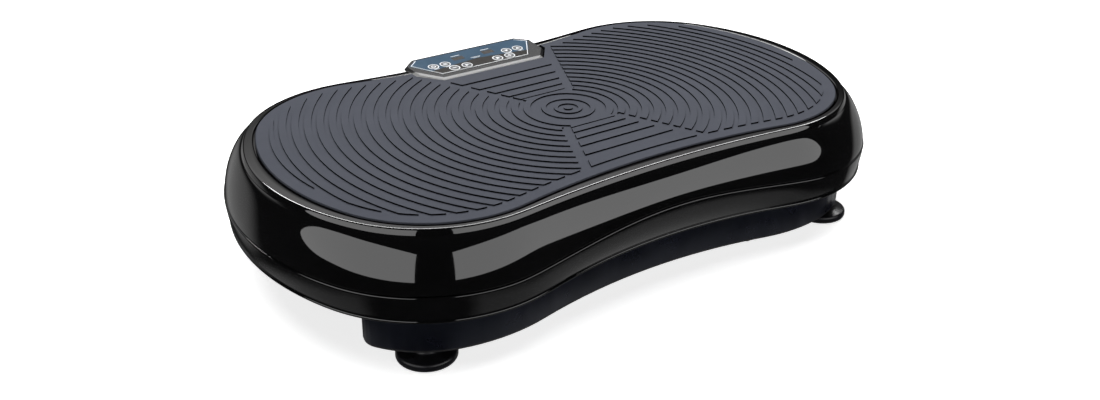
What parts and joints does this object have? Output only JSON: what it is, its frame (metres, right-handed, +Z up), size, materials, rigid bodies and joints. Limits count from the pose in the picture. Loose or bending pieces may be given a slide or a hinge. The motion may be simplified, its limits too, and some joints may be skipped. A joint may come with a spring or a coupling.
{
  "type": "vibration plate",
  "caption": "Low oscillating exercise plate: waisted oval rubber-ribbed platform in gloss shells that see-saws on a lobed base with suction feet, with a key console.",
  "frame": {"origin": "on the floor under the middle of the plate, at the feet's lowest point", "axes": "+X along the plate's long axis to the user's right, +Y from the user towards the console, +Z up"},
  "size_m": [0.667, 0.392, 0.132],
  "materials": {
    "mat_rubber": "satin",
    "shell_gloss": "high gloss black",
    "housing_gloss": "gloss black with a polished bevel",
    "skirt_plastic": "satin black",
    "foot_rubber": "satin",
    "buffer_rubber": "matte",
    "belt_rubber": "matte",
    "frame_paint": "black powder coat",
    "motor_paint": "semi gloss black",
    "zinc_steel": "zinc plated",
    "shaft_steel": "ground",
    "bearing_steel": "polished",
    "cast_aluminium": "machined casting",
    "block_iron": "as cast",
    "bush_bronze": "sintered bronze",
    "board_laminate": "solder mask",
    "board_parts": "mixed component bodies",
    "inlet_plastic": "satin black",
    "rocker_plastic": "red, gloss",
    "printed_film": "blue printed film, satin",
    "display_glass": "smoked",
    "switch_plastic": "moulded",
    "key_plastic": "moulded"
  },
  "bodies": {
    "base": {"base_plate": "frame_paint", "base_skirt": "skirt_plastic", "foot_front_left": "foot_rubber", "foot_front_right": "foot_rubber", "foot_rear_left": "foot_rubber", "foot_rear_right": "foot_rubber", "foot_bolts": "zinc_steel", "skirt_screws": "zinc_steel", "buffer_posts": "frame_paint", "rubber_buffers": "buffer_rubber", "pivot_bracket_front": "frame_paint", "pivot_bracket_rear": "frame_paint", "pivot_bushes": "bush_bronze", "motor_can": "motor_paint", "motor_cap": "cast_aluminium", "motor_cradle": "frame_paint", "drive_belt": "belt_rubber", "bearing_block_front": "block_iron", "bearing_block_rear": "block_iron", "crank_bearings": "bearing_steel", "frame_bolts": "zinc_steel", "board_pillars": "zinc_steel", "control_board": "board_laminate", "board_components": "board_parts", "power_inlet": "inlet_plastic", "switch_frame": "inlet_plastic"},
    "platform": {"foot_mat": "mat_rubber", "top_shell": "shell_gloss", "lower_shell": "shell_gloss", "deck_plate": "frame_paint", "deck_rail_front": "frame_paint", "deck_rail_rear": "frame_paint", "deck_bolts": "zinc_steel", "shell_screws": "zinc_steel", "hinge_lug_front": "frame_paint", "hinge_lug_rear": "frame_paint", "pivot_pin_front": "shaft_steel", "pivot_pin_rear": "shaft_steel", "rod_yoke": "frame_paint", "rod_pin": "shaft_steel", "console_housing": "housing_gloss", "console_film": "printed_film", "console_board": "board_laminate", "display_modules": "display_glass", "key_switches": "switch_plastic"},
    "crank": {"crank_shaft": "shaft_steel", "crank_pulley": "cast_aluminium"},
    "rod": {"connecting_rod": "cast_aluminium", "rod_bearing": "bearing_steel"},
    "rotor": {"motor_shaft": "shaft_steel", "motor_pulley": "cast_aluminium"},
    "rocker": {"power_rocker": "rocker_plastic"},
    "key_power_body": {"key_power": "key_plastic"},
    "key_mode_body": {"key_mode": "key_plastic"},
    "key_slower_body": {"key_slower": "key_plastic"},
    "key_start_body": {"key_start": "key_plastic"},
    "key_stop_body": {"key_stop": "key_plastic"},
    "key_faster_body": {"key_faster": "key_plastic"},
    "key_time_down_body": {"key_time_down": "key_plastic"},
    "key_time_up_body": {"key_time_up": "key_plastic"}
  },
  "joints": [
    {"name": "platform_rock", "type": "hinge", "parent": "base", "child": "platform", "pos_m": [0, 0, 0.085], "axis": [0, 1, 0], "range_deg": [-1, 1]},
    {"name": "crank_turn", "type": "hinge", "parent": "base", "child": "crank", "pos_m": [0.085, 0, 0.05], "axis": [0, 1, 0], "continuous": true},
    {"name": "rod_swing", "type": "hinge", "parent": "crank", "child": "rod", "pos_m": [0.0865, 0, 0.05], "axis": [0, 1, 0], "continuous": true},
    {"name": "rotor_spin", "type": "hinge", "parent": "base", "child": "rotor", "pos_m": [-0.13, 0, 0.058], "axis": [0, 1, 0], "continuous": true},
    {"name": "power_switch", "type": "hinge", "parent": "base", "child": "rocker", "pos_m": [0.017, 0.1495, 0.037], "axis": [1, 0, 0], "range_deg": [-16, 0]},
    {"name": "key_power_press", "type": "slide", "parent": "platform", "child": "key_power_body", "axis": [0, 0.0611, -0.9981], "range_m": [0, 0.00025], "stiffness_N_per_m": 400, "springref_m": -0.0005},
    {"name": "key_mode_press", "type": "slide", "parent": "platform", "child": "key_mode_body", "axis": [0, 0.0611, -0.9981], "range_m": [0, 0.00025], "stiffness_N_per_m": 400, "springref_m": -0.0005},
    {"name": "key_slower_press", "type": "slide", "parent": "platform", "child": "key_slower_body", "axis": [0, 0.0611, -0.9981], "range_m": [0, 0.00025], "stiffness_N_per_m": 400, "springref_m": -0.0005},
    {"name": "key_start_press", "type": "slide", "parent": "platform", "child": "key_start_body", "axis": [0, 0.0611, -0.9981], "range_m": [0, 0.00025], "stiffness_N_per_m": 400, "springref_m": -0.0005},
    {"name": "key_stop_press", "type": "slide", "parent": "platform", "child": "key_stop_body", "axis": [0, 0.0611, -0.9981], "range_m": [0, 0.00025], "stiffness_N_per_m": 400, "springref_m": -0.0005},
    {"name": "key_faster_press", "type": "slide", "parent": "platform", "child": "key_faster_body", "axis": [0, 0.0611, -0.9981], "range_m": [0, 0.00025], "stiffness_N_per_m": 400, "springref_m": -0.0005},
    {"name": "key_time_down_press", "type": "slide", "parent": "platform", "child": "key_time_down_body", "axis": [0, 0.0611, -0.9981], "range_m": [0, 0.00025], "stiffness_N_per_m": 400, "springref_m": -0.0005},
    {"name": "key_time_up_press", "type": "slide", "parent": "platform", "child": "key_time_up_body", "axis": [0, 0.0611, -0.9981], "range_m": [0, 0.00025], "stiffness_N_per_m": 400, "springref_m": -0.0005}
  ],
  "couplings": [
    {"joint": "rod_swing", "follows": "crank_turn", "ratio": -1},
    {"joint": "rotor_spin", "follows": "crank_turn", "ratio": 2.5}
  ]
}
